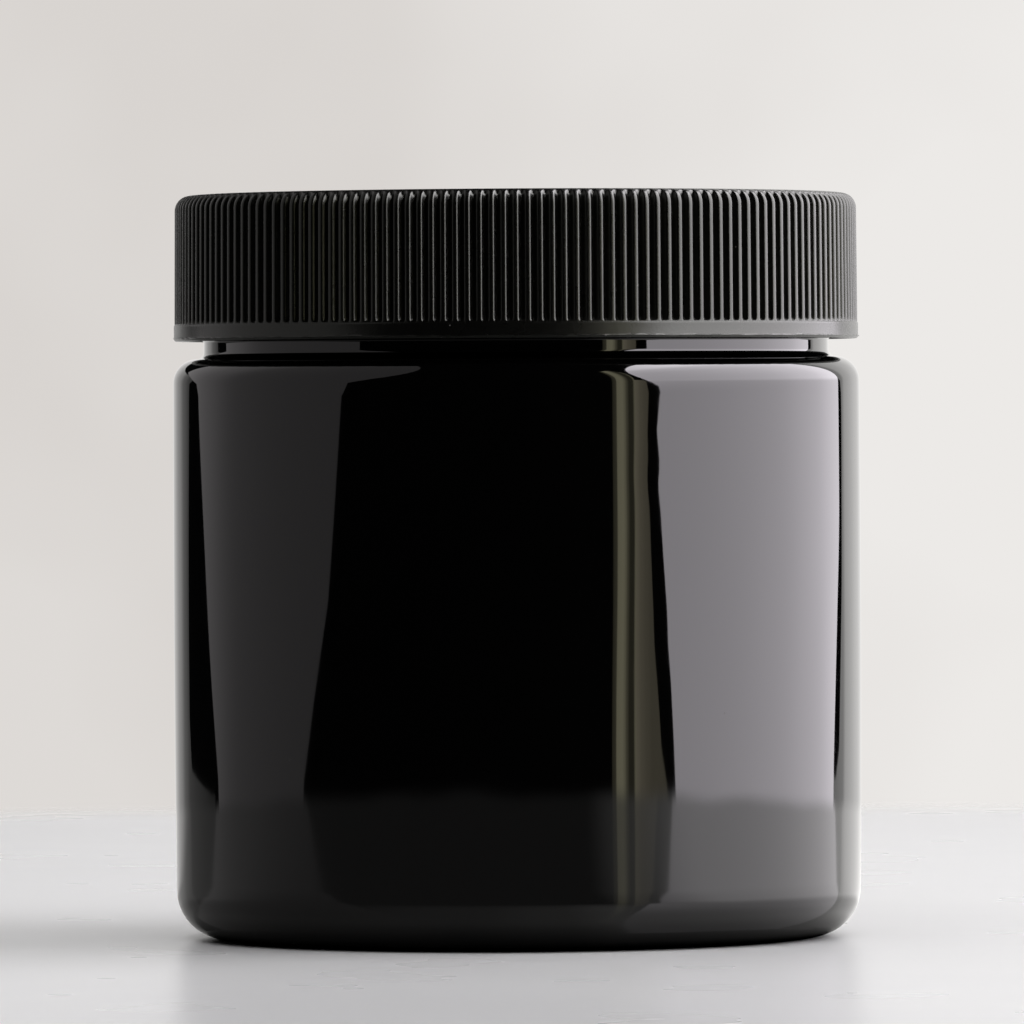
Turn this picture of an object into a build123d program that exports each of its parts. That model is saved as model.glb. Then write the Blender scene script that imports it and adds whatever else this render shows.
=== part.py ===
from build123d import *
import math
import os

# Straight-sided cosmetic cream jar with a ribbed screw cap.
# Millimetres, +Z up. Origin: centre of the ring that the jar stands on.
# The front of the jar faces -Y.

os.makedirs("parts", exist_ok=True)

# ---------------------------------------------------------------- driving dimensions

# Jar body, outside
wall_radius = 45.87  # at the middle of the slightly crowned wall
wall_radius_low = 45.7  # where the heel meets the wall
wall_radius_high = 45.8  # where the shoulder meets the wall
wall_mid_height = 46.0
heel_round = 6.5
shoulder_height = 77.25  # top of the shoulder, where it turns up into the neck
shoulder_round = 3.3
relief_radius = 41.65  # the plain waist of the neck under its thread
relief_top = 79.5
neck_radius = 42.6  # root of the thread
rim_height = 96.15
rim_round = 0.4
neck_fillet = wall_radius_high - shoulder_round - relief_radius

# Jar body, inside
wall_thickness = 0.9
mouth_radius = 40.6
inner_neck_round = neck_fillet + 1.05

# Push-up under the jar, with the gate mark at its centre
stand_ring_inner = 38.3
ramp_radius = 36.8
ramp_height = 0.6
push_up_radius = 32.0
push_up_edge_height = 2.2
push_up_height = 3.0
push_up_rounds = (4.0, 3.0, 0.5)
floor_thickness = 1.0
gate_radius = 1.5
gate_height = 0.6

# Neck finish: one right-hand thread, five turns to the inch
thread_pitch = 25.4 / 5
thread_turns = 1.2
thread_bury = 0.5  # how far a thread's profile runs into the wall behind it
run_out_dip = 0.05  # how far a run-out dips under the wall that it fades into
jar_thread_crest_radius = 43.85
jar_thread_base_width = 2.6
jar_thread_crest_width = 1.2
jar_thread_height = 86.85  # centre of the thread at its lower end
jar_thread_angle = 20.0

# Screw cap
cap_bottom = 79.6
cap_top = 99.0
bead_radius = 45.65
bead_round = 0.35
bead_top = 81.75
skirt_foot_radius = 45.55  # rib crests just above the bead
cap_shoulder_radius = 45.45  # rib crests at the start of the top corner
cap_corner_round = 2.0
cap_bore_radius = 44.2
cap_mouth_radius = 44.8
lead_in_height = 1.2
cap_ceiling = 97.3
ceiling_round = 0.3
recess_radius = 40.5
recess_depth = 0.2
dimple_radius = 3.0
dimple_depth = 0.3
nub_radius = 0.8
nub_height = 0.2

# Thread inside the cap
cap_thread_crest_radius = 42.95
cap_thread_base_width = 2.2
cap_thread_crest_width = 1.0
cap_thread_height = 83.2
thread_offset = 1.86  # how far the cap's thread hangs below the jar's
cap_run_out_radius = 19.3

# Grip ribs, left standing between grooves
rib_count = 180
rib_depth = 0.38
groove_width = 0.9
groove_foot_height = 81.85
groove_foot_round = 0.6
groove_leave_angle = 25.0  # where a groove leaves the curve of the top corner and runs out straight
cutter_margin = 1.5

# Liner in the cap: a pulpboard wad with a thin film on the face that meets the rim
liner_radius = 43.9
liner_top = 97.2
wad_thickness = 0.9
facing_thickness = 0.1


# ---------------------------------------------------------------- helpers


def turned(edges):
    """A solid of revolution about Z, from the closed outline that the edges make in XZ."""
    return revolve(Plane.XZ * make_face(edges), Axis.Z)


def disc(radius, bottom, thickness):
    """A plain disc on the axis, standing on a height."""
    standing = (Align.CENTER, Align.CENTER, Align.MIN)
    return Pos(0, 0, bottom) * Cylinder(radius, thickness, align=standing)


def thread_coil(wall, crest, base_width, crest_width):
    """A trapezoid thread swept up its helix from angle 0 and height 0."""
    buried = wall + math.copysign(thread_bury, wall - crest)
    outline = Polyline(
        (buried, -base_width / 2),
        (wall, -base_width / 2),
        (crest, -crest_width / 2),
        (crest, crest_width / 2),
        (wall, base_width / 2),
        (buried, base_width / 2),
        close=True,
    )
    path = Helix(pitch=thread_pitch, height=thread_pitch * thread_turns, radius=wall)
    return sweep(Plane.XZ * make_face(outline), path=path, is_frenet=True)


def with_run_outs(coil, cutter):
    """The coil with the cutter taken off both of its ends, so that they fade into the wall."""
    for turns in (0, thread_turns):
        coil -= Rot(0, 0, 360 * turns) * Pos(0, 0, thread_pitch * turns) * cutter
    return coil


# ---------------------------------------------------------------- jar body


def jar_outside():
    """From the gate mark, out along the base and up the wall to the middle of the rim."""
    heel_centre = (wall_radius_low - heel_round, heel_round)
    shoulder_centre = (wall_radius_high - shoulder_round, shoulder_height - shoulder_round)
    neck_centre = (relief_radius + neck_fillet, shoulder_height + neck_fillet)
    rim_centre = (neck_radius - rim_round, rim_height - rim_round)
    gate_tip = push_up_height - gate_height
    return [
        Polyline((0, gate_tip), (gate_radius, gate_tip), (gate_radius, push_up_height)),
        FilletPolyline(
            (gate_radius, push_up_height),
            (push_up_radius, push_up_edge_height),
            (ramp_radius, ramp_height),
            (stand_ring_inner, 0),
            (heel_centre[0], 0),
            radius=push_up_rounds,
        ),
        CenterArc(heel_centre, heel_round, -90, 90),
        ThreePointArc(
            (wall_radius_low, heel_centre[1]),
            (wall_radius, wall_mid_height),
            (wall_radius_high, shoulder_centre[1]),
        ),
        CenterArc(shoulder_centre, shoulder_round, 0, 90),
        CenterArc(neck_centre, neck_fillet, 180, 90),
        Polyline(
            (relief_radius, neck_centre[1]),
            (relief_radius, relief_top),
            (neck_radius, relief_top + neck_radius - relief_radius),
            (neck_radius, rim_centre[1]),
        ),
        CenterArc(rim_centre, rim_round, 0, 90),
    ]


def jar_inside():
    """From the rim, down the neck and the wall and in along the floor to the axis."""
    rim_centre = (mouth_radius + rim_round, rim_height - rim_round)
    shoulder_centre = (wall_radius_high - shoulder_round, shoulder_height - shoulder_round)
    shoulder_inner_round = shoulder_round - wall_thickness
    neck_centre = (
        mouth_radius + inner_neck_round,
        shoulder_height - wall_thickness + inner_neck_round,
    )
    heel_centre = (wall_radius_low - heel_round, heel_round)
    return [
        Line((neck_radius - rim_round, rim_height), (rim_centre[0], rim_height)),
        CenterArc(rim_centre, rim_round, 90, 90),
        Line((mouth_radius, rim_centre[1]), (mouth_radius, neck_centre[1])),
        CenterArc(neck_centre, inner_neck_round, 180, 90),
        CenterArc(shoulder_centre, shoulder_inner_round, 0, 90),
        ThreePointArc(
            (wall_radius_high - wall_thickness, shoulder_centre[1]),
            (wall_radius - wall_thickness, wall_mid_height),
            (wall_radius_low - wall_thickness, heel_centre[1]),
        ),
        CenterArc(heel_centre, heel_round - wall_thickness, -90, 90),
        FilletPolyline(
            (heel_centre[0], wall_thickness),
            (stand_ring_inner, wall_thickness),
            (ramp_radius, ramp_height + floor_thickness),
            (push_up_radius, push_up_edge_height + floor_thickness),
            (0, push_up_height + floor_thickness),
            radius=tuple(reversed(push_up_rounds)),
        ),
        Line((0, push_up_height + floor_thickness), (0, push_up_height - gate_height)),
    ]


def jar_thread():
    """The thread on the neck. Its run-outs are flats that touch the root of the thread."""
    coil = thread_coil(
        neck_radius, jar_thread_crest_radius, jar_thread_base_width, jar_thread_crest_width
    )
    from_inside = (Align.MIN, Align.CENTER, Align.CENTER)
    block = Box(neck_radius, 2 * neck_radius, thread_pitch, align=from_inside)
    coil = with_run_outs(coil, Pos(neck_radius - run_out_dip, 0, 0) * block)
    return Pos(0, 0, jar_thread_height) * Rot(0, 0, jar_thread_angle) * coil


def jar_body():
    return turned(jar_outside() + jar_inside()) + jar_thread()


# ---------------------------------------------------------------- screw cap


def cap_outside():
    """From the mouth, round the bead, up the skirt and in along the top to the axis."""
    bead_centre = (bead_radius - bead_round, cap_bottom + bead_round)
    corner_centre = (cap_shoulder_radius - cap_corner_round, cap_top - cap_corner_round)
    recess_floor = cap_top - recess_depth
    dimple_floor = recess_floor - dimple_depth
    return [
        Line((cap_mouth_radius, cap_bottom), (bead_centre[0], cap_bottom)),
        CenterArc(bead_centre, bead_round, -90, 90),
        Polyline(
            (bead_radius, bead_centre[1]),
            (bead_radius, bead_top),
            (skirt_foot_radius, bead_top),
            (cap_shoulder_radius, corner_centre[1]),
        ),
        CenterArc(corner_centre, cap_corner_round, 0, 90),
        Polyline(
            (corner_centre[0], cap_top),
            (recess_radius, cap_top),
            (recess_radius - recess_depth, recess_floor),
            (dimple_radius, recess_floor),
            (dimple_radius - dimple_depth, dimple_floor),
            (nub_radius, dimple_floor),
            (nub_radius, dimple_floor + nub_height),
            (0, dimple_floor + nub_height),
        ),
    ]


def cap_inside():
    """From the axis, out along the ceiling and down the bore to the mouth."""
    ceiling_centre = (cap_bore_radius - ceiling_round, cap_ceiling - ceiling_round)
    return [
        Polyline(
            (0, cap_top - recess_depth - dimple_depth + nub_height),
            (0, cap_ceiling),
            (ceiling_centre[0], cap_ceiling),
        ),
        CenterArc(ceiling_centre, ceiling_round, 0, 90),
        Polyline(
            (cap_bore_radius, ceiling_centre[1]),
            (cap_bore_radius, cap_bottom + lead_in_height),
            (cap_mouth_radius, cap_bottom),
        ),
    ]


def cap_thread():
    """The thread in the cap, in the lower side of the jar's own groove."""
    coil = thread_coil(
        cap_bore_radius, cap_thread_crest_radius, cap_thread_base_width, cap_thread_crest_width
    )
    column = Cylinder(cap_run_out_radius, thread_pitch)
    column_place = cap_bore_radius + run_out_dip - cap_run_out_radius
    coil = with_run_outs(coil, Pos(column_place, 0, 0) * column)
    turns_behind = (cap_thread_height - jar_thread_height + thread_offset) / thread_pitch
    angle = jar_thread_angle + 360 * turns_behind
    return Pos(0, 0, cap_thread_height) * Rot(0, 0, angle) * coil


def groove_cutter():
    """A slot with a scooped foot, that climbs the skirt and runs out over the top corner."""
    corner = Vector(cap_shoulder_radius - cap_corner_round, cap_top - cap_corner_round)
    floor_round = cap_corner_round - rib_depth
    low = Vector(skirt_foot_radius - rib_depth, groove_foot_height + groove_foot_round)
    leave = math.radians(groove_leave_angle)
    leave_point = corner + Vector(math.cos(leave), math.sin(leave)) * floor_round
    run_out = leave_point + Vector(-math.sin(leave), math.cos(leave)) * cap_corner_round
    outer = bead_radius + cutter_margin
    outline = [
        CenterArc((low.X + groove_foot_round, low.Y), groove_foot_round, 180, 90),
        Line(low, corner + Vector(floor_round, 0)),
        CenterArc(corner, floor_round, 0, groove_leave_angle),
        Polyline(
            leave_point,
            run_out,
            (outer, run_out.Y),
            (outer, groove_foot_height),
            (low.X + groove_foot_round, groove_foot_height),
        ),
    ]
    return extrude(Plane.XZ * make_face(outline), groove_width / 2, both=True)


def screw_cap():
    shell = turned(cap_outside() + cap_inside()) + cap_thread()
    cutter = groove_cutter()
    step = 360 / rib_count
    return shell - [Rot(0, 0, step * n) * cutter for n in range(rib_count)]


# ---------------------------------------------------------------- liner


def liner_wad():
    return disc(liner_radius, liner_top - wad_thickness, wad_thickness)


def liner_facing():
    return disc(liner_radius, liner_top - wad_thickness - facing_thickness, facing_thickness)


# ---------------------------------------------------------------- files

for make_node in (jar_body, screw_cap, liner_wad, liner_facing):
    export_step(make_node(), f"parts/{make_node.__name__}.step")
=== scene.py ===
import math

import bpy
import numpy as np
from mathutils import Matrix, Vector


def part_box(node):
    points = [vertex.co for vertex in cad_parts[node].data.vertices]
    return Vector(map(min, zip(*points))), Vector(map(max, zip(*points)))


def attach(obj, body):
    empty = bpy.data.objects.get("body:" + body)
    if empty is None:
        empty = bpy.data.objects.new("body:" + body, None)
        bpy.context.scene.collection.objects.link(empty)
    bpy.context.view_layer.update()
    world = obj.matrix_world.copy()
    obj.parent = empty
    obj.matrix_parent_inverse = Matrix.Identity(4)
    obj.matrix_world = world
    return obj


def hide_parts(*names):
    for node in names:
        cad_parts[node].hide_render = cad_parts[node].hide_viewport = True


# Looks of the cosmetic cream jar: a gloss black PET jar with a satin black ribbed PP cap.
# Metres, +Z up, the front of the jar faces -Y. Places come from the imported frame, and the
# profile sizes below repeat the CAD model's, apart from the rib grooves, which are deeper.

MM = 0.001
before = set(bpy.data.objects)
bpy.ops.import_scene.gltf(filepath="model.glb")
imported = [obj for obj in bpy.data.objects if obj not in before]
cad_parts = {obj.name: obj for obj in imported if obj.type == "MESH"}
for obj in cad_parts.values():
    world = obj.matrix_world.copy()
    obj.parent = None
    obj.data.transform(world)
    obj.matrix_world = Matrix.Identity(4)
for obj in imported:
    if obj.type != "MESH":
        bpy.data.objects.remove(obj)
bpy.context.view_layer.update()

# ---------------------------------------------------------------- sizes, in millimetres

# Jar body
WALL_RADIUS = 45.87
WALL_RADIUS_LOW = 45.7
WALL_RADIUS_HIGH = 45.8
WALL_MID_HEIGHT = 46.0
WALL_THICKNESS = 0.9
HEEL_ROUND = 6.5
SHOULDER_HEIGHT = 77.25
SHOULDER_ROUND = 3.3
RELIEF_RADIUS = 41.65
RELIEF_TOP = 79.5
NECK_RADIUS = 42.6
NECK_FILLET = WALL_RADIUS_HIGH - SHOULDER_ROUND - RELIEF_RADIUS
MOUTH_RADIUS = 40.6
MOUTH_FILLET = NECK_FILLET + 1.05
RIM_ROUND = 0.4
STAND_RING_INNER = 38.3
RAMP_RADIUS = 36.8
RAMP_HEIGHT = 0.6
PUSH_UP_RADIUS = 32.0
PUSH_UP_EDGE_HEIGHT = 2.2
PUSH_UP_HEIGHT = 3.0
FLOOR_THICKNESS = 1.0
GATE_RADIUS = 1.5
GATE_HEIGHT = 0.6

# Threads
PITCH = 25.4 / 5
TURNS = 1.2
JAR_THREAD = dict(depth=1.25, base=2.6, crest=1.2, height=86.85, angle=20.0)
CAP_THREAD = dict(depth=1.25, base=2.2, crest=1.0, height=83.2, angle=-106.85)
RUN_OUT_ANGLE = 14.0

# Cap
BEAD_RADIUS = 45.65
BEAD_ROUND = 0.35
BEAD_TOP = 81.75
SKIRT_FOOT_RADIUS = 45.55
CAP_SHOULDER_RADIUS = 45.45
CAP_CORNER_ROUND = 2.0
CAP_BORE_RADIUS = 44.2
CAP_BORE_LAND = 92.0
CAP_MOUTH_RADIUS = 44.8
LEAD_IN_HEIGHT = 1.2
CAP_CEILING = 97.3
CEILING_ROUND = 0.3
RECESS_RADIUS = 40.5
RECESS_DEPTH = 0.2
DIMPLE_RADIUS = 3.0
DIMPLE_DEPTH = 0.3
NUB_RADIUS = 0.8
NUB_HEIGHT = 0.2
RIB_COUNT = 180
RIB_DEPTH = 0.46
RIB_FOOT = 81.85
RIB_FOOT_ROUND = 0.6
GROOVE_LEAVE_ANGLE = 25.0
FLASH_REACH = 0.14  # how far the thin ragged flash stands out along the bead's lower edge

CAP_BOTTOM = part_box("screw_cap")[0].z / MM
CAP_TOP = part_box("screw_cap")[1].z / MM
RIM_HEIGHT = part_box("jar_body")[1].z / MM


# ---------------------------------------------------------------- mesh building


class Shell:
    """A closed turned mesh, gathered ring by ring. Rings may differ in count by a whole ratio."""

    def __init__(self):
        self.points = []
        self.faces = []

    def ring(self, angles, radius, height):
        """Adds a ring of points and returns their numbers. Angles in radians, sizes in mm."""
        first = len(self.points)
        radius = np.broadcast_to(radius, angles.shape)
        height = np.broadcast_to(height, angles.shape)
        places = np.stack([radius * np.cos(angles), radius * np.sin(angles), height], axis=1)
        self.points.extend((places * MM).tolist())
        return list(range(first, len(self.points)))

    def band(self, one, two):
        """Faces between two rings. The side seen with ring one on the left is the outside."""
        if len(one) < len(two):
            self.fan_out(one, two)
            return
        if len(one) > len(two):
            self.fan_out(two, one, flip=True)
            return
        count = len(one)
        for k in range(count):
            after = (k + 1) % count
            self.faces.append((one[k], one[after], two[after], two[k]))

    def fan_out(self, coarse, fine, flip=False):
        """One face from each edge of the coarse ring to the matching run of the fine ring."""
        ratio = len(fine) // len(coarse)
        for k in range(len(coarse)):
            run = [fine[(k * ratio + n) % len(fine)] for n in range(ratio + 1)]
            face = [coarse[k], coarse[(k + 1) % len(coarse)], *reversed(run)]
            self.faces.append(tuple(reversed(face)) if flip else tuple(face))

    def cover(self, ring, height, flip=False):
        """Closes a ring with triangles that meet on the axis."""
        self.points.append((0.0, 0.0, height * MM))
        tip = len(self.points) - 1
        for k in range(len(ring)):
            edge = (ring[k], ring[(k + 1) % len(ring)])
            self.faces.append((edge[1], edge[0], tip) if flip else (*edge, tip))

    def build(self, name, crease_angle):
        mesh = bpy.data.meshes.new(name)
        mesh.from_pydata(self.points, [], self.faces)
        mesh.validate()
        mesh.shade_smooth()
        mesh.set_sharp_from_angle(angle=math.radians(crease_angle))
        piece = bpy.data.objects.new(name, mesh)
        bpy.context.scene.collection.objects.link(piece)
        return piece


def arc(centre, radius, start, end, steps):
    """Points (radius, height) along an arc in the section, angles in degrees."""
    turn = np.radians(np.linspace(start, end, steps + 1))
    return [(centre[0] + radius * math.cos(a), centre[1] + radius * math.sin(a)) for a in turn]


def smooth_step(x):
    x = np.clip(x, 0.0, 1.0)
    return x * x * (3 - 2 * x)


def thread_height(angles, height, thread):
    """How far a thread stands out of its wall at a height, for each angle. Sizes in mm."""
    total = np.zeros_like(angles)
    flank = (thread["base"] - thread["crest"]) / 2
    first_lap = (np.degrees(angles) - thread["angle"]) % 360
    for lap in range(math.ceil(TURNS)):
        turned = first_lap + 360 * lap
        fade_in = smooth_step(turned / RUN_OUT_ANGLE)
        fade_out = smooth_step((360 * TURNS - turned) / RUN_OUT_ANGLE)
        off = np.abs(height - thread["height"] - PITCH * turned / 360)
        rise = smooth_step((thread["base"] / 2 - off) / flank)
        total = np.maximum(total, thread["depth"] * rise * np.minimum(fade_in, fade_out))
    return total


# ---------------------------------------------------------------- jar body

WALL_COLUMNS = 450
SEAM_ANGLES = (-97.0, 83.0)  # the two lines where the halves of the blow mould met
SEAM_HEIGHT = 0.026
SEAM_WIDTH = 0.16
SEAM_OFFSETS = (-0.5, -0.3, -0.15, 0.15, 0.3, 0.5)  # extra columns beside each line, in degrees
WAVES = (  # lobes round the jar, turns up its height, phase, size in mm
    (3, 0.4, 5.2, 0.010),
    (7, 0.3, 0.3, 0.008),
    (13, -0.6, 1.9, 0.006),
    (22, 1.1, 4.0, 0.0035),
    (31, -1.7, 2.6, 0.002),
)
DENTS = (  # angle in degrees, height, width and depth in mm
    (-66.5, 62.0, 2.6, 0.016),
    (-62.0, 41.0, 3.4, 0.010),
    (-118.0, 30.0, 4.0, 0.010),
    (-28.0, 52.0, 3.5, 0.012),
    (40.0, 35.0, 3.0, 0.014),
    (155.0, 58.0, 3.2, 0.014),
)


def jar_angles():
    """Even columns, with closer ones beside the two mould lines."""
    even = np.linspace(-180, 180, WALL_COLUMNS, endpoint=False)
    beside = [seam + offset for seam in SEAM_ANGLES for offset in SEAM_OFFSETS]
    return np.radians(np.unique(np.concatenate([even, beside])))


def angle_between(angles, degrees):
    """The way round from a direction to each angle, in radians either side of 0."""
    return np.radians((np.degrees(angles) - degrees + 180) % 360 - 180)


def wall_relief(angles, height):
    """Small unevenness of the blown wall: long soft waves, dents and the ridge of each mould line."""
    up = 2 * math.pi * height / SHOULDER_HEIGHT
    waves = sum(size * np.sin(lobes * angles + turns * up + phase) for lobes, turns, phase, size in WAVES)
    relief = waves - sum(wave[-1] for wave in WAVES)
    for degrees, middle, width, depth in DENTS:
        away = np.hypot(angle_between(angles, degrees) * WALL_RADIUS, height - middle)
        relief = relief - depth * np.exp(-((away / width) ** 2))
    relief = relief * smooth_step(height / HEEL_ROUND)
    relief = relief * smooth_step((SHOULDER_HEIGHT - height) / SHOULDER_ROUND)
    for degrees in SEAM_ANGLES:
        away = angle_between(angles, degrees) * WALL_RADIUS
        relief = relief + SEAM_HEIGHT * np.exp(-((away / SEAM_WIDTH) ** 2))
    return relief


def crowned(height, inset=0.0):
    """Radius of the slightly crowned wall at a height."""
    low, high = HEEL_ROUND, SHOULDER_HEIGHT - SHOULDER_ROUND
    middle = WALL_MID_HEIGHT
    edge = WALL_RADIUS_LOW if height < middle else WALL_RADIUS_HIGH
    span = (middle - low) if height < middle else (high - middle)
    return WALL_RADIUS - (WALL_RADIUS - edge) * ((height - middle) / span) ** 2 - inset


def jar_base():
    """From the gate mark at the centre of the push-up to the stand ring."""
    gate_tip = PUSH_UP_HEIGHT - GATE_HEIGHT
    edge = (PUSH_UP_RADIUS, PUSH_UP_EDGE_HEIGHT)
    ramp_end = (STAND_RING_INNER + 0.1, 0.03)
    return [
        (0.6, gate_tip),
        (GATE_RADIUS - 0.1, gate_tip + 0.03),
        (GATE_RADIUS, gate_tip + 0.15),
        (GATE_RADIUS + 0.05, PUSH_UP_HEIGHT - 0.1),
        (GATE_RADIUS + 0.3, PUSH_UP_HEIGHT),
        (10, PUSH_UP_HEIGHT - 0.15),
        (20, PUSH_UP_HEIGHT - 0.4),
        (28, PUSH_UP_HEIGHT - 0.65),
        (edge[0] - 1, edge[1] + 0.06),
        (edge[0], edge[1] - 0.05),
        (edge[0] + 1, edge[1] - 0.3),
        (RAMP_RADIUS - 0.8, RAMP_HEIGHT + 0.28),
        (RAMP_RADIUS, RAMP_HEIGHT),
        (RAMP_RADIUS + 0.8, RAMP_HEIGHT - 0.27),
        ramp_end,
        (STAND_RING_INNER + 0.3, 0),
    ]


def jar_outline():
    """The whole section as (radius, height, kind) points, from the gate mark round to the floor."""
    heel = (WALL_RADIUS_LOW - HEEL_ROUND, HEEL_ROUND)
    shoulder = (WALL_RADIUS_HIGH - SHOULDER_ROUND, SHOULDER_HEIGHT - SHOULDER_ROUND)
    neck = (RELIEF_RADIUS + NECK_FILLET, SHOULDER_HEIGHT + NECK_FILLET)
    lip_out = (NECK_RADIUS - RIM_ROUND, RIM_HEIGHT - RIM_ROUND)
    lip_in = (MOUTH_RADIUS + RIM_ROUND, RIM_HEIGHT - RIM_ROUND)
    throat = (MOUTH_RADIUS + MOUTH_FILLET, SHOULDER_HEIGHT - WALL_THICKNESS + MOUTH_FILLET)
    wall = np.arange(heel[1] + 1.4, shoulder[1] - 0.7, 1.4)
    thread = np.arange(JAR_THREAD["height"] - 1.5, JAR_THREAD["height"] + PITCH * TURNS + 1.6, 0.18)
    inside = np.linspace(shoulder[1], heel[1], 12)
    waist = (neck[1] + 0.1, RELIEF_TOP - 0.2, RELIEF_TOP - 0.05)
    relief_slope = RELIEF_TOP + NECK_RADIUS - RELIEF_RADIUS

    def kind(name, points):
        return [(radius, height, name) for radius, height in points]

    return (
        kind("plain", jar_base())
        + kind("wall", arc(heel, HEEL_ROUND, -90, 0, 10))
        + kind("wall", [(crowned(z), z) for z in wall])
        + kind("wall", arc(shoulder, SHOULDER_ROUND, 0, 90, 12))
        + kind("plain", arc(neck, NECK_FILLET, 270, 180, 8)[1:])
        + kind("plain", [(RELIEF_RADIUS, z) for z in waist])
        + kind("plain", [(RELIEF_RADIUS + 0.05, RELIEF_TOP + 0.05)])
        + kind("plain", [(NECK_RADIUS - 0.05, relief_slope - 0.05), (NECK_RADIUS, relief_slope + 0.1)])
        + kind("thread", [(NECK_RADIUS, z) for z in thread])
        + kind("plain", arc(lip_out, RIM_ROUND, 0, 90, 5))
        + kind("plain", arc(lip_in, RIM_ROUND, 90, 180, 5))
        + kind("plain", [(MOUTH_RADIUS, 90), (MOUTH_RADIUS, 84)])
        + kind("plain", arc(throat, MOUTH_FILLET, 180, 270, 7))
        + kind("plain", arc(shoulder, SHOULDER_ROUND - WALL_THICKNESS, 90, 0, 8))
        + kind("plain", [(crowned(z, WALL_THICKNESS), z) for z in inside[1:]])
        + kind("plain", arc(heel, HEEL_ROUND - WALL_THICKNESS, 0, -90, 8)[1:])
        + kind("plain", [(STAND_RING_INNER, WALL_THICKNESS), (RAMP_RADIUS, RAMP_HEIGHT + FLOOR_THICKNESS)])
        + kind("plain", [(PUSH_UP_RADIUS, PUSH_UP_EDGE_HEIGHT + FLOOR_THICKNESS), (16, 3.75), (2, 3.98)])
    )


def make_jar():
    shell = Shell()
    angles = jar_angles()
    before = None
    for radius, height, kind in jar_outline():
        if kind == "wall":
            radius = radius + wall_relief(angles, height)
        if kind == "thread":
            radius = radius + thread_height(angles, height, JAR_THREAD)
        now = shell.ring(angles, radius, height)
        if before is None:
            shell.cover(now, PUSH_UP_HEIGHT - GATE_HEIGHT, flip=True)
        else:
            shell.band(before, now)
        before = now
    shell.cover(before, PUSH_UP_HEIGHT + FLOOR_THICKNESS)
    jar = shell.build("jar_body_visual", crease_angle=50)
    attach(jar, "jar")
    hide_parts("jar_body")
    return jar


# ---------------------------------------------------------------- screw cap

# One flank of a rib: place as a share of the pitch from the crest's centre, and the depth there
# as a share of the groove. The groove ends in a narrow V, a little deeper than the CAD's floor.
RIB_FLANK = ((0.08, 0.01), (0.15, 0.055), (0.21, 0.19), (0.265, 0.46), (0.33, 0.86))
GROOVE_V = 1.35
FOOT_SHARES = (0.0, 0.12, 0.3, 0.55, 1.0)
RIB_HEIGHTS = (84.5, 88, 92, 95)
CORNER_ANGLES = (0, 10, 20, 30, 40, 48, 55, 61, 70, 80, 90)
PLAIN_COLUMNS = 360
BEAD_COLUMNS = 1080


def rib_columns():
    """Angles of the fine columns round the skirt, and how deep in the groove each one lies."""
    flank = np.array(RIB_FLANK)
    places = np.concatenate([[0], flank[:, 0], [0.5], 1 - flank[::-1, 0]])
    depths = np.concatenate([[0], flank[:, 1], [GROOVE_V], flank[::-1, 1]])
    pitch = 2 * math.pi / RIB_COUNT
    angles = (np.arange(RIB_COUNT)[:, None] + places[None, :]) * pitch
    return angles.ravel(), np.tile(depths, RIB_COUNT)


def even_columns(count):
    return np.linspace(0, 2 * math.pi, count, endpoint=False)


def ragged(angles, seed, lobes):
    """An uneven edge from 0 to 1, the same each time, that closes on itself."""
    draw = np.random.default_rng(seed)
    total = np.zeros_like(angles)
    for n in lobes:
        total += np.sin(n * angles + draw.uniform(0, 2 * math.pi)) / len(lobes)
    return smooth_step(0.5 + total)


def crest_radius(height):
    """Radius of the rib crests, which lean in by the skirt's draft."""
    share = (height - BEAD_TOP) / (CAP_TOP - CAP_CORNER_ROUND - BEAD_TOP)
    return SKIRT_FOOT_RADIUS + (CAP_SHOULDER_RADIUS - SKIRT_FOOT_RADIUS) * share


def cap_inside(shell, angles):
    """The ceiling, the bore with its thread and the lead-in at the mouth."""
    corner = (CAP_BORE_RADIUS - CEILING_ROUND, CAP_CEILING - CEILING_ROUND)
    before = shell.ring(angles, 1.5, CAP_CEILING)
    shell.cover(before, CAP_CEILING, flip=True)
    plain = [(15, CAP_CEILING), (30, CAP_CEILING), *arc(corner, CEILING_ROUND, 90, 0, 4)]
    plain.append((CAP_BORE_RADIUS, CAP_BORE_LAND))
    for radius, height in plain:
        now = shell.ring(angles, radius, height)
        shell.band(before, now)
        before = now
    lowest = CAP_BOTTOM + LEAD_IN_HEIGHT
    top = CAP_THREAD["height"] + PITCH * TURNS + CAP_THREAD["base"] / 2 + 0.1
    for height in np.linspace(top, lowest, 60):
        now = shell.ring(angles, CAP_BORE_RADIUS - thread_height(angles, height, CAP_THREAD), height)
        shell.band(before, now)
        before = now
    now = shell.ring(angles, CAP_MOUTH_RADIUS, CAP_BOTTOM)
    shell.band(before, now)
    return now


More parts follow.
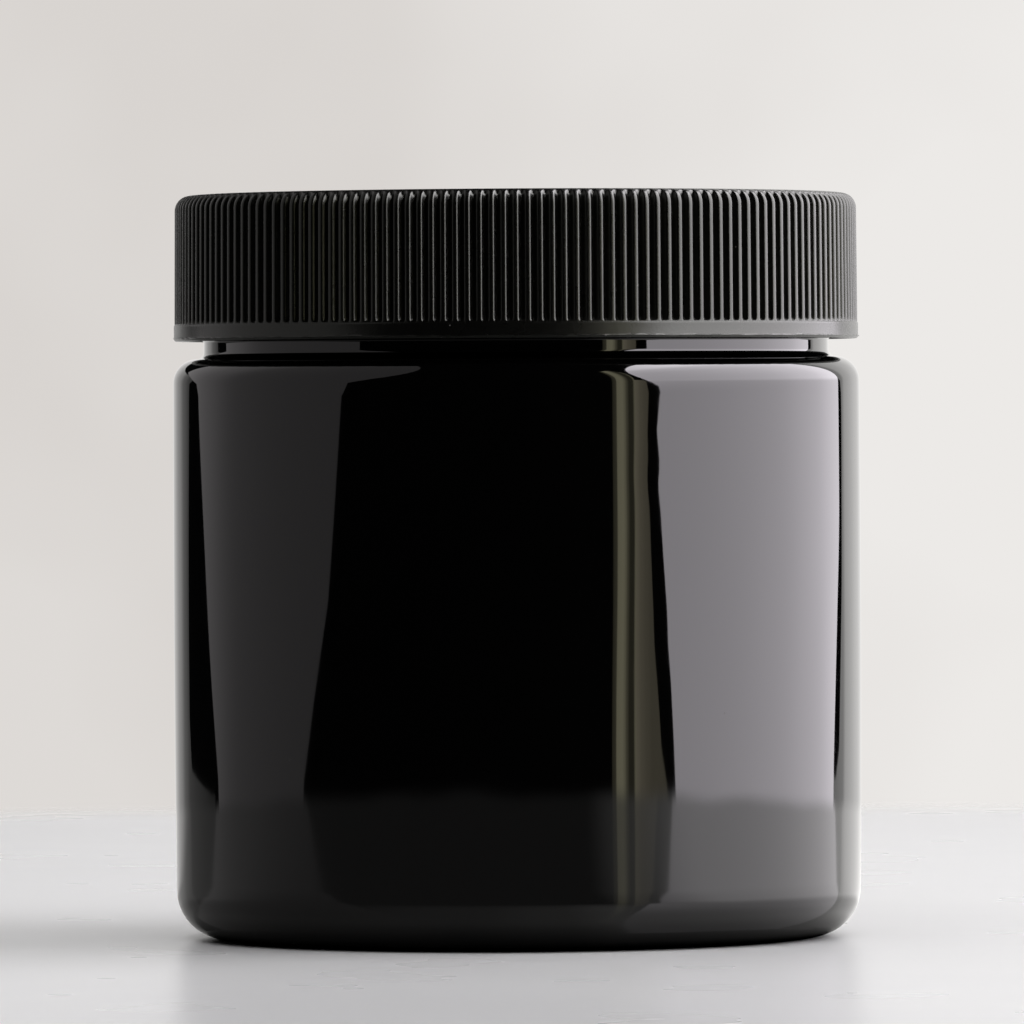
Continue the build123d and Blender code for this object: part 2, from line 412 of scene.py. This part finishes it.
def cap_bead(shell, angles, before):
    """The rounded lower edge, its thin ragged flash, and the plain band under the ribs."""
    sag = 0.07 * (ragged(angles, 5, (17, 29, 43, 71, 97)) - 0.5)
    reach = FLASH_REACH * (0.35 + 0.65 * ragged(angles, 8, (13, 31, 57, 83, 121)))
    centre = (BEAD_RADIUS - BEAD_ROUND, CAP_BOTTOM + BEAD_ROUND)
    parting = centre[1] + sag
    rings = arc(centre, BEAD_ROUND, -90, -12, 5)
    rings += [
        (BEAD_RADIUS + reach * 0.7, parting - 0.03),
        (BEAD_RADIUS + reach, parting + 0.02),
        (BEAD_RADIUS + reach * 0.9, parting + 0.07),
        (BEAD_RADIUS + 0.01, parting + 0.13),
        (BEAD_RADIUS, parting + 0.25),
        (BEAD_RADIUS, BEAD_TOP - 0.25),
        (BEAD_RADIUS - 0.005, BEAD_TOP - 0.1),
        (BEAD_RADIUS - 0.03, BEAD_TOP - 0.03),
        (BEAD_RADIUS - 0.08, BEAD_TOP),
    ]
    for radius, height in rings:
        now = shell.ring(angles, radius, height)
        shell.band(before, now)
        before = now
    return before


def corner_points(angle):
    """Where a rib's crest and its groove's floor lie, at an angle round the top corner."""
    centre = (CAP_SHOULDER_RADIUS - CAP_CORNER_ROUND, CAP_TOP - CAP_CORNER_ROUND)
    past = math.radians(max(angle - GROOVE_LEAVE_ANGLE, 0))
    floor_reach = min((CAP_CORNER_ROUND - RIB_DEPTH) / math.cos(past), CAP_CORNER_ROUND)
    turn = math.radians(angle)
    return [
        (centre[0] + reach * math.cos(turn), centre[1] + reach * math.sin(turn))
        for reach in (CAP_CORNER_ROUND, floor_reach)
    ]


def cap_ribs(shell, angles, depths, before):
    """The ribbed skirt, from the scooped feet of the grooves over the top corner."""
    now = shell.ring(angles, crest_radius(BEAD_TOP), BEAD_TOP + 0.02)
    shell.band(before, now)
    before = now
    for share in FOOT_SHARES:
        height = RIB_FOOT + RIB_FOOT_ROUND * share
        scoop = math.sqrt(1 - (1 - share) ** 2)
        now = shell.ring(angles, crest_radius(height) - RIB_DEPTH * scoop * depths, height)
        shell.band(before, now)
        before = now
    for height in RIB_HEIGHTS:
        now = shell.ring(angles, crest_radius(height) - RIB_DEPTH * depths, height)
        shell.band(before, now)
        before = now
    for angle in CORNER_ANGLES:
        (crest_r, crest_z), (floor_r, floor_z) = corner_points(angle)
        radius = crest_r + (floor_r - crest_r) * depths
        now = shell.ring(angles, radius, crest_z + (floor_z - crest_z) * depths)
        shell.band(before, now)
        before = now
    return before


def cap_crown(shell, angles, before):
    """The flat top: a rim, a shallow recess and the gate's dimple with its nub."""
    recess = CAP_TOP - RECESS_DEPTH
    dimple = recess - DIMPLE_DEPTH
    rings = [
        (42.3, CAP_TOP),
        (RECESS_RADIUS + 0.1, CAP_TOP),
        (RECESS_RADIUS - 0.02, CAP_TOP - 0.03),
        (RECESS_RADIUS - 0.16, recess + 0.03),
        (RECESS_RADIUS - 0.3, recess),
        (30, recess),
        (18, recess),
        (DIMPLE_RADIUS + 0.15, recess),
        (DIMPLE_RADIUS, recess - 0.04),
        (DIMPLE_RADIUS - 0.25, dimple + 0.03),
        (DIMPLE_RADIUS - 0.4, dimple),
        (NUB_RADIUS + 0.1, dimple),
        (NUB_RADIUS, dimple + 0.05),
        (NUB_RADIUS - 0.05, dimple + NUB_HEIGHT - 0.03),
        (NUB_RADIUS - 0.15, dimple + NUB_HEIGHT),
    ]
    for radius, height in rings:
        now = shell.ring(angles, radius, height)
        shell.band(before, now)
        before = now
    shell.cover(before, dimple + NUB_HEIGHT)


def make_cap():
    shell = Shell()
    fine, depths = rib_columns()
    before = cap_inside(shell, even_columns(PLAIN_COLUMNS))
    before = cap_bead(shell, even_columns(BEAD_COLUMNS), before)
    before = cap_ribs(shell, fine, depths, before)
    cap_crown(shell, even_columns(PLAIN_COLUMNS), before)
    cap = shell.build("screw_cap_visual", crease_angle=35)
    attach(cap, "cap")
    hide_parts("screw_cap")
    return cap


# ---------------------------------------------------------------- materials


class Nodes:
    """A short way to build a node tree."""

    def __init__(self, tree):
        self.tree = tree
        tree.nodes.clear()

    def add(self, kind, values=None, **settings):
        node = self.tree.nodes.new(kind)
        for name, value in settings.items():
            setattr(node, name, value)
        for name, value in (values or {}).items():
            node.inputs[name].default_value = value
        return node

    def link(self, source, target):
        self.tree.links.new(source, target)

    def math(self, operation, one, two=None, clamp=False):
        node = self.add("ShaderNodeMath", operation=operation, use_clamp=clamp)
        for socket, value in zip(node.inputs, (one, two)):
            if value is None:
                continue
            if isinstance(value, (int, float)):
                socket.default_value = value
            else:
                self.link(value, socket)
        return node.outputs[0]

    def noise(self, scale, detail=2.0, roughness=0.5, vector=None):
        node = self.add("ShaderNodeTexNoise", {"Scale": scale, "Detail": detail, "Roughness": roughness})
        self.link(vector or self.place(), node.inputs["Vector"])
        return node.outputs["Fac"]

    def place(self, stretch=(1, 1, 1)):
        """Object coordinates, stretched."""
        where = self.add("ShaderNodeTexCoord").outputs["Object"]
        if stretch == (1, 1, 1):
            return where
        mapping = self.add("ShaderNodeMapping", {"Scale": stretch})
        self.link(where, mapping.inputs["Vector"])
        return mapping.outputs["Vector"]

    def range(self, value, low, high, to_low, to_high, smooth=False):
        node = self.add("ShaderNodeMapRange", interpolation_type="SMOOTHSTEP" if smooth else "LINEAR")
        for name, number in zip(("From Min", "From Max", "To Min", "To Max"), (low, high, to_low, to_high)):
            node.inputs[name].default_value = number
        self.link(value, node.inputs["Value"])
        return node.outputs["Result"]

    def mix(self, factor, one, two):
        node = self.add("ShaderNodeMix", data_type="RGBA")
        for socket, value in zip((node.inputs[0], node.inputs[6], node.inputs[7]), (factor, one, two)):
            if isinstance(value, (tuple, float, int)):
                socket.default_value = value
            else:
                self.link(value, socket)
        return node.outputs[2]

    def bump(self, height, strength, distance, normal=None):
        node = self.add("ShaderNodeBump", {"Strength": strength, "Distance": distance})
        self.link(height, node.inputs["Height"])
        if normal is not None:
            self.link(normal, node.inputs["Normal"])
        return node.outputs["Normal"]

    def dust(self, scale, size, share):
        """Sparse round specks: 1 in a speck, 0 elsewhere. Size is a part of a cell, share of all cells."""
        cells = self.add("ShaderNodeTexVoronoi", {"Scale": scale, "Randomness": 1.0})
        self.link(self.place(), cells.inputs["Vector"])
        chance = self.add("ShaderNodeSeparateColor")
        self.link(cells.outputs["Color"], chance.inputs["Color"])
        near = self.math("LESS_THAN", cells.outputs["Distance"], size)
        chosen = self.math("LESS_THAN", chance.outputs["Red"], share)
        return self.math("MULTIPLY", near, chosen)

    def ramp(self, value, stops):
        """A number read off a row of (place from 0 to 1, number) stops."""
        node = self.add("ShaderNodeValToRGB")
        band = node.color_ramp
        band.interpolation = "EASE"
        while len(band.elements) < len(stops):
            band.elements.new(0.5)
        for element, (position, number) in zip(band.elements, stops):
            element.position = position
            element.color = (number, number, number, 1)
        self.link(value, node.inputs["Fac"])
        return node.outputs["Color"]


def plastic(name, ior, values=None):
    material = bpy.data.materials.new(name)
    material.use_nodes = True
    nodes = Nodes(material.node_tree)
    shader = nodes.add("ShaderNodeBsdfPrincipled", {"IOR": ior, **(values or {})})
    output = nodes.add("ShaderNodeOutputMaterial")
    nodes.link(shader.outputs["BSDF"], output.inputs["Surface"])
    return material, nodes, shader


def black_pet():
    """Gloss black PET: mirror-like, with faint flow waves, haze and a few specks of dust."""
    material, nodes, shader = plastic("black_pet", 1.5)
    haze = nodes.noise(90.0, 4.0, 0.6)
    streaks = nodes.noise(60.0, 3.0, 0.6, nodes.place((1, 1, 0.12)))
    specks = nodes.dust(300.0, 0.035, 0.08)
    rough = nodes.range(haze, 0.35, 0.75, 0.02, 0.045)
    nodes.link(nodes.math("ADD", rough, nodes.math("MULTIPLY", specks, 0.4)), shader.inputs["Roughness"])
    tint = nodes.mix(streaks, (0.0004, 0.0004, 0.0004, 1), (0.0010, 0.0009, 0.0009, 1))
    nodes.link(nodes.mix(specks, tint, (0.035, 0.033, 0.03, 1)), shader.inputs["Base Color"])
    flow = nodes.noise(70.0, 1.0, 0.4, nodes.place((1, 1, 0.3)))
    fine = nodes.noise(420.0, 2.0, 0.5)
    normal = nodes.bump(flow, 0.35, 0.000006)
    nodes.link(nodes.bump(fine, 0.2, 0.000002, normal), shader.inputs["Normal"])
    return material


def black_polypropylene():
    """Satin black PP: an even moulded grain, cloudy gloss and a little pale dust."""
    material, nodes, shader = plastic("black_polypropylene", 1.49, {"Specular Tint": (0.96, 1.0, 0.92, 1)})
    grain = nodes.noise(2600.0, 2.0, 0.6)
    cloud = nodes.noise(140.0, 3.0, 0.55)
    specks = nodes.dust(700.0, 0.07, 0.12)
    rough = nodes.range(cloud, 0.3, 0.7, 0.245, 0.29)
    nodes.link(nodes.math("ADD", rough, nodes.math("MULTIPLY", specks, 0.3)), shader.inputs["Roughness"])
    tint = nodes.mix(grain, (0.0008, 0.0007, 0.0005, 1), (0.0020, 0.0018, 0.0015, 1))
    nodes.link(nodes.mix(specks, tint, (0.07, 0.065, 0.06, 1)), shader.inputs["Base Color"])
    normal = nodes.bump(grain, 0.35, 0.00002)
    nodes.link(nodes.bump(cloud, 0.1, 0.00003, normal), shader.inputs["Normal"])
    return material


def pulpboard():
    """Grey-brown board with short fibres and flecks."""
    material, nodes, shader = plastic("pulpboard", 1.45)
    fibres = nodes.noise(900.0, 4.0, 0.7, nodes.place((1, 0.35, 1)))
    flecks = nodes.dust(900.0, 0.25, 0.14)
    tint = nodes.mix(fibres, (0.36, 0.30, 0.22, 1), (0.62, 0.55, 0.44, 1))
    nodes.link(nodes.mix(flecks, tint, (0.16, 0.12, 0.09, 1)), shader.inputs["Base Color"])
    nodes.link(nodes.range(fibres, 0.2, 0.8, 0.8, 0.95), shader.inputs["Roughness"])
    nodes.link(nodes.bump(fibres, 0.6, 0.00006), shader.inputs["Normal"])
    return material


def facing_film():
    """White film with a soft sheen and the board's faint unevenness showing through."""
    material, nodes, shader = plastic("facing_film", 1.5)
    board = nodes.noise(420.0, 3.0, 0.6)
    patches = nodes.noise(70.0, 2.0, 0.5)
    nodes.link(nodes.mix(patches, (0.74, 0.73, 0.70, 1), (0.82, 0.82, 0.80, 1)), shader.inputs["Base Color"])
    nodes.link(nodes.range(patches, 0.3, 0.7, 0.3, 0.42), shader.inputs["Roughness"])
    nodes.link(nodes.bump(board, 0.4, 0.00003), shader.inputs["Normal"])
    return material


def dress(piece, material):
    piece.data.materials.clear()
    piece.data.materials.append(material)


# ---------------------------------------------------------------- stage and light


def quad(name, corners):
    mesh = bpy.data.meshes.new(name)
    mesh.from_pydata([tuple(c) for c in corners], [], [tuple(range(len(corners)))])
    piece = bpy.data.objects.new(name, mesh)
    bpy.context.scene.collection.objects.link(piece)
    return piece


def glow(name, colour, strength, fades=None):
    """A light-giving material. fades has stops of (metres, share of the strength) for an axis."""
    material = bpy.data.materials.new(name)
    material.use_nodes = True
    nodes = Nodes(material.node_tree)
    light = nodes.add("ShaderNodeEmission", {"Color": (*colour, 1), "Strength": strength})
    apart = nodes.add("ShaderNodeSeparateXYZ")
    nodes.link(nodes.place(), apart.inputs[0])
    level = strength
    for axis, fade in (fades or {}).items():
        nearest, furthest = fade[0][0], fade[-1][0]
        along = nodes.range(apart.outputs[axis], nearest, furthest, 0, 1)
        stops = [((place - nearest) / (furthest - nearest), share) for place, share in fade]
        level = nodes.math("MULTIPLY", nodes.ramp(along, stops), level)
        nodes.link(level, light.inputs["Strength"])
    output = nodes.add("ShaderNodeOutputMaterial")
    nodes.link(light.outputs[0], output.inputs["Surface"])
    return material


def card(name, corners, colour, strength, fades):
    """A glowing board that only the gloss of things sees."""
    piece = quad(name, corners)
    dress(piece, glow(name, colour, strength, fades))
    piece.visible_camera = False
    piece.visible_diffuse = False
    piece.visible_shadow = False


SIDE_DISTANCE = 0.5
BACK_DISTANCE = 1.5
WINDOW_STRENGTH = 20.6
BOUNCE_STRENGTH = 0.53
STRIP_WIDE_STRENGTH = 2.3
STRIP_THIN_STRENGTH = 1.7
BACK_STRENGTH = 1.44


def bowed(start, end, bow, steps=12):
    """Points along an arc from start to end that bulges to the left of the way there."""
    way = np.subtract(end, start)
    chord = np.hypot(*way)
    left = np.array([-way[1], way[0]]) / chord
    radius = chord**2 / (8 * bow) + bow / 2
    centre = np.add(start, end) / 2 + left * (bow - radius)
    half = math.asin(chord / 2 / radius)
    turn = math.atan2(left[1], left[0]) + np.linspace(half, -half, steps + 1)
    return [(centre[0] + radius * math.cos(a), centre[1] + radius * math.sin(a)) for a in turn]


def side_cards():
    """The bright board on the right and the dim one on the left, as (along Y, height) outlines."""
    window = [(-0.33, -0.1), (-0.4, 0), (-0.43, 0.03), (-0.48, 0.07), (-0.46, 0.08), (-0.47, 0.1)]
    window += bowed((-0.53, 0.12), (-0.03, 1.23), 0.26)
    window += [(0.2, 1.6), (0.6, 1.9), (0.6, 0.9), (0.48, 0.6), (0.48, 0.05), (0.4, 0), (0.33, -0.1)]
    across = ((-0.62, 0.55), (-0.45, 0.54), (-0.05, 0.58), (0.1, 0.56), (0.3, 0.5), (0.55, 0.42))
    upward = ((0.08, 0.41), (0.14, 0.58), (0.45, 0.62), (0.62, 0.7), (0.85, 1.0), (1.9, 1.0))
    corners = [(SIDE_DISTANCE, y, z) for y, z in window]
    card("window_card", corners, (1.0, 0.95, 1.01), WINDOW_STRENGTH, {"Y": across, "Z": upward})
    bounce = [(-0.1, -0.1), (-0.15, 0), (-0.25, 0.035)]
    bounce += bowed((-0.32, 0.08), (0.17, 1.6), 0.48)
    bounce += [(0.9, 1.6), (0.9, 0.3), (0.65, 0.2), (0.42, 0.07), (0.25, 0), (0.18, -0.1)]
    across = ((-0.62, 0.72), (0.1, 0.7), (0.3, 0.95), (0.6, 1.0))
    corners = [(-SIDE_DISTANCE, y, z) for y, z in reversed(bounce)]
    card("bounce_card", corners, (1.0, 0.955, 0.97), BOUNCE_STRENGTH, {"Y": across})


def strip_cards():
    """Thin olive-grey strips beside the window card, as of a curtain and its frame."""
    wide = [(-0.83, -0.1), (-0.625, -0.1), (-0.625, 0.62), (-0.66, 0.9), (-0.83, 0.9)]
    across = ((-0.83, 0.14), (-0.79, 0.22), (-0.782, 0.9), (-0.73, 0.95), (-0.712, 0.75))
    across += ((-0.69, 0.35), (-0.67, 0.12), (-0.64, 0.12), (-0.632, 0.6), (-0.625, 0.75))
    corners = [(SIDE_DISTANCE, y, z) for y, z in wide]
    card("strip_wide", corners, (1.0, 0.94, 0.64), STRIP_WIDE_STRENGTH, {"Y": across})
    thin = [(-0.625, -0.1), (-0.3, -0.1), (-0.43, -0.01), (-0.47, 0), (-0.5, 0.02), (-0.54, 0.07)]
    thin += [(-0.53, 0.08), (-0.56, 0.16), (-0.625, 0.18)]
    across = ((-0.625, 1.0), (-0.61, 0.9), (-0.585, 0.7), (-0.55, 0.57), (-0.52, 0.48), (-0.3, 0.45))
    corners = [(SIDE_DISTANCE, y, z) for y, z in thin]
    card("strip_thin", corners, (1.0, 0.9, 0.66), STRIP_THIN_STRENGTH, {"Y": across})


def back_wall():
    """The pale wall behind, low on the left and high on the right, which edges the jar."""
    outline = [(-2.4, -0.4), (-2.4, -0.1), (-1.2, -0.05), (-1.12, -0.03), (-1.15, 0.1), (-1.3, 0.25)]
    outline += [(-1.3, 0.4), (-0.05, 0.4), (0.1, 0.8), (0.15, 1.5), (2.2, 1.5), (1.5, 0.3)]
    outline += [(1.3, 0.07), (1.33, 0.01), (1.45, -0.05), (1.6, -0.065), (2.3, -0.085), (2.3, -0.4)]
    across = ((-2.4, 0.08), (-1.5, 0.11), (-1.14, 0.12), (-0.95, 0.2), (-0.7, 0.4), (-0.4, 0.52))
    across += ((0.0, 0.68), (0.45, 0.82), (0.8, 0.95), (1.15, 1.0), (1.3, 0.62), (2.3, 0.6))
    corners = [(x, BACK_DISTANCE, z) for x, z in outline]
    card("back_wall", corners, (1.0, 0.985, 0.97), BACK_STRENGTH, {"X": across})


FRONT_BOARD = ((-1.2, -1.8, 1.6), (-1.2, -0.3, 1.6), (1.2, -0.3, 1.6), (1.2, -1.8, 1.6))
TOP_BOARD = ((-1.2, -1, 1.9), (-1.2, 1.4, 1.9), (1.2, 1.4, 1.9), (1.2, -1, 1.9))
SIDE_BOARD = ((0.9, -0.5, 0), (0.9, 0.5, 0), (0.9, 0.5, 0.9), (0.9, -0.5, 0.9))
SOFT_LIGHTS = (  # name, corners, strength
    ("front_light", FRONT_BOARD, 1.22),
    ("top_light", TOP_BOARD, 1.28),
    ("side_light", SIDE_BOARD, 3.6),
)


def soft_lights():
    """Boards that light the table and are not seen in any gloss."""
    for name, corners, strength in SOFT_LIGHTS:
        piece = quad(name, corners)
        dress(piece, glow(name, (1, 0.99, 0.985), strength))
        piece.visible_camera = False
        piece.visible_glossy = False
        piece.visible_shadow = False


DOME_RADIUS = 6.0


def backdrop():
    """A pale glowing dome that only the camera sees, a little brighter on the right: painted light, as from
    the window side.
    """
    bpy.ops.mesh.primitive_uv_sphere_add(segments=48, ring_count=24, radius=DOME_RADIUS)
    dome = bpy.context.object
    dome.name = "backdrop"
    dome.data.shade_smooth()
    material = bpy.data.materials.new("backdrop")
    material.use_nodes = True
    nodes = Nodes(material.node_tree)
    apart = nodes.add("ShaderNodeSeparateXYZ")
    nodes.link(nodes.place(), apart.inputs[0])
    # painted light: the dome's tone rises towards the window on the right; the clouds are random tone
    across = nodes.range(apart.outputs["X"], -0.3, 0.36, 0, 1, True)
    cloud = nodes.range(nodes.noise(2.2, 3.0, 0.5), 0.35, 0.65, -0.25, 0.25)
    tint = nodes.mix(
        nodes.math("ADD", across, cloud, clamp=True), (0.69, 0.66, 0.635, 1), (0.84, 0.82, 0.80, 1)
    )
    light = nodes.add("ShaderNodeEmission")
    nodes.link(tint, light.inputs["Color"])
    output = nodes.add("ShaderNodeOutputMaterial")
    nodes.link(light.outputs[0], output.inputs["Surface"])
    dress(dome, material)
    for seen_by in ("diffuse", "glossy", "transmission", "shadow", "volume_scatter"):
        setattr(dome, f"visible_{seen_by}", False)


TABLE_RADIUS = 0.49
TABLE_FADE = 0.08
TABLE_SHIFT = -0.02


def disc(name, height, shader_of):
    """A round table top with a soft edge. shader_of makes its finish from its node tree."""
    bpy.ops.mesh.primitive_circle_add(
        vertices=128, radius=TABLE_RADIUS, fill_type="NGON", location=(0, TABLE_SHIFT, height)
    )
    top = bpy.context.object
    top.name = name
    material = bpy.data.materials.new(name)
    material.use_nodes = True
    nodes = Nodes(material.node_tree)
    finish = shader_of(nodes)
    clear = nodes.add("ShaderNodeBsdfTransparent")
    length = nodes.add("ShaderNodeVectorMath", operation="LENGTH")
    nodes.link(nodes.place(), length.inputs[0])
    away = nodes.range(length.outputs["Value"], TABLE_RADIUS - TABLE_FADE, TABLE_RADIUS, 0, 1, True)
    both = nodes.add("ShaderNodeMixShader")
    nodes.link(away, both.inputs[0])
    nodes.link(finish, both.inputs[1])
    nodes.link(clear.outputs[0], both.inputs[2])
    output = nodes.add("ShaderNodeOutputMaterial")
    nodes.link(both.outputs[0], output.inputs["Surface"])
    dress(top, material)
    return top


def painted_wood(nodes):
    """The table as it is seen: pale satin paint with soft clouds."""
    cloud = nodes.noise(9.0, 4.0, 0.6)
    fleck = nodes.noise(30.0, 2.0, 0.5)
    shader = nodes.add("ShaderNodeBsdfPrincipled", {"IOR": 1.4, "Specular IOR Level": 0.14})
    nodes.link(nodes.mix(cloud, (0.76, 0.76, 0.78, 1), (0.84, 0.84, 0.85, 1)), shader.inputs["Base Color"])
    nodes.link(nodes.range(fleck, 0.3, 0.7, 0.27, 0.29), shader.inputs["Roughness"])
    return shader.outputs[0]


# Painted light of the table in the gloss: how brightly the gloss-only table glows, as (degrees round from
# the front, light) stops
FAR_PAINTED_LIGHT = ((-180, 0.8), (-152, 0.5), (-139, 0.18), (-100, 0.17), (-60, 0.1), (20, 0.1), (33, 0.4),
             (58, 1.2), (130, 1.3), (180, 0.8))
NEAR_PAINTED_LIGHT = ((-180, 0.4), (-100, 0.11), (-50, 0.13), (-10, 0.2), (8, 0.28), (22, 0.48), (40, 0.52),
              (63, 0.6), (90, 0.75), (150, 0.8), (180, 0.4))
NEAR_END = 0.062
FAR_START = 0.09
# painted contact shadow: the gloss-only table glows less and less towards the jar's foot, and not at all
# under its heel
PAINTED_SHADOW_EDGE = 0.041  # inside this the table is dark, under the jar's heel
PAINTED_SHADOW_END = 0.05
SHEEN_IOR = 1.4
SHEEN_SHARE = 0.45
SHEEN_DROP = 0.00002


def painted_table_light(nodes):
    """Painted light: the table as the gloss shows it, a glowing disc bright towards the window and dim on
    the other side.
    """
    spot = nodes.add("ShaderNodeVectorMath", {1: (0, TABLE_SHIFT, 0)}, operation="ADD")
    nodes.link(nodes.place(), spot.inputs[0])
    apart = nodes.add("ShaderNodeSeparateXYZ")
    nodes.link(spot.outputs[0], apart.inputs[0])
    length = nodes.add("ShaderNodeVectorMath", operation="LENGTH")
    nodes.link(spot.outputs[0], length.inputs[0])
    reach = length.outputs["Value"]
    front = nodes.math("MULTIPLY", apart.outputs["Y"], -1)
    turn = nodes.math("ARCTAN2", apart.outputs["X"], front)
    share = nodes.range(turn, -math.pi, math.pi, 0, 1)
    far, near = (
        nodes.ramp(share, [((degrees + 180) / 360, level) for degrees, level in stops])
        for stops in (FAR_PAINTED_LIGHT, NEAR_PAINTED_LIGHT)
    )
    level = nodes.mix(nodes.range(reach, NEAR_END, FAR_START, 0, 1, True), near, far)
    # painted contact shadow: dims the glow close to the jar
    painted_contact_shadow = nodes.range(reach, PAINTED_SHADOW_EDGE, PAINTED_SHADOW_END, 0, 1, True)
    # the gloss-only table glows: painted light of a table lit from the window side
    light = nodes.add("ShaderNodeEmission", {"Color": (1.0, 0.985, 0.97, 1)})
    nodes.link(nodes.math("MULTIPLY", level, painted_contact_shadow), light.inputs["Strength"])
    facing = nodes.add("ShaderNodeFresnel", {"IOR": SHEEN_IOR})
    gloss = nodes.add("ShaderNodeBsdfGlossy", {"Roughness": 0.1})
    nodes.link(nodes.math("MULTIPLY", facing.outputs[0], SHEEN_SHARE), gloss.inputs["Color"])
    both = nodes.add("ShaderNodeAddShader")
    nodes.link(light.outputs[0], both.inputs[0])
    nodes.link(gloss.outputs[0], both.inputs[1])
    return both.outputs[0]


def table():
    """One top for the camera and soft light, and one, just under it, that only the gloss sees, which glows
    with painted light and a painted contact shadow.
    """
    disc("table", 0, painted_wood).visible_glossy = False
    sheen = disc("table_sheen", -SHEEN_DROP, painted_table_light)
    for seen_by in ("camera", "diffuse", "transmission", "shadow", "volume_scatter"):
        setattr(sheen, f"visible_{seen_by}", False)


def dark_room():
    """What lies beyond the boards: an unlit room."""
    world = bpy.data.worlds.new("room")
    bpy.context.scene.world = world
    world.use_nodes = True
    nodes = Nodes(world.node_tree)
    room = nodes.add("ShaderNodeBackground", {"Color": (0.9, 0.95, 1.0, 1), "Strength": 0.004})
    output = nodes.add("ShaderNodeOutputWorld")
    nodes.link(room.outputs[0], output.inputs["Surface"])


# ---------------------------------------------------------------- camera

CAMERA_DISTANCE = 1.407
EYE_HEIGHT = 0.072
LENS = 370.5
PITCH_DOWN = 0.625
ROLL = -0.3
AIM_LEFT = 0.00065


def place_camera():
    """Level with the jar's upper body, looking very slightly down from far away."""
    camera = bpy.data.objects.new("camera", bpy.data.cameras.new("camera"))
    bpy.context.scene.collection.objects.link(camera)
    camera.data.lens = LENS
    camera.data.sensor_width = 36.0
    camera.data.clip_end = 20.0
    camera.location = (-AIM_LEFT, -CAMERA_DISTANCE, EYE_HEIGHT)
    level = Matrix.Rotation(math.radians(90 - PITCH_DOWN), 4, "X")
    roll = Matrix.Rotation(math.radians(ROLL), 4, "Z")
    camera.rotation_euler = (level @ roll).to_euler()
    bpy.context.scene.camera = camera


# ---------------------------------------------------------------- scene

bpy.context.scene.view_settings.view_transform = "Standard"
dress(make_jar(), black_pet())
dress(make_cap(), black_polypropylene())
dress(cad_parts["liner_wad"], pulpboard())
dress(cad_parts["liner_facing"], facing_film())
side_cards()
strip_cards()
back_wall()
soft_lights()
backdrop()
table()
dark_room()
place_camera()
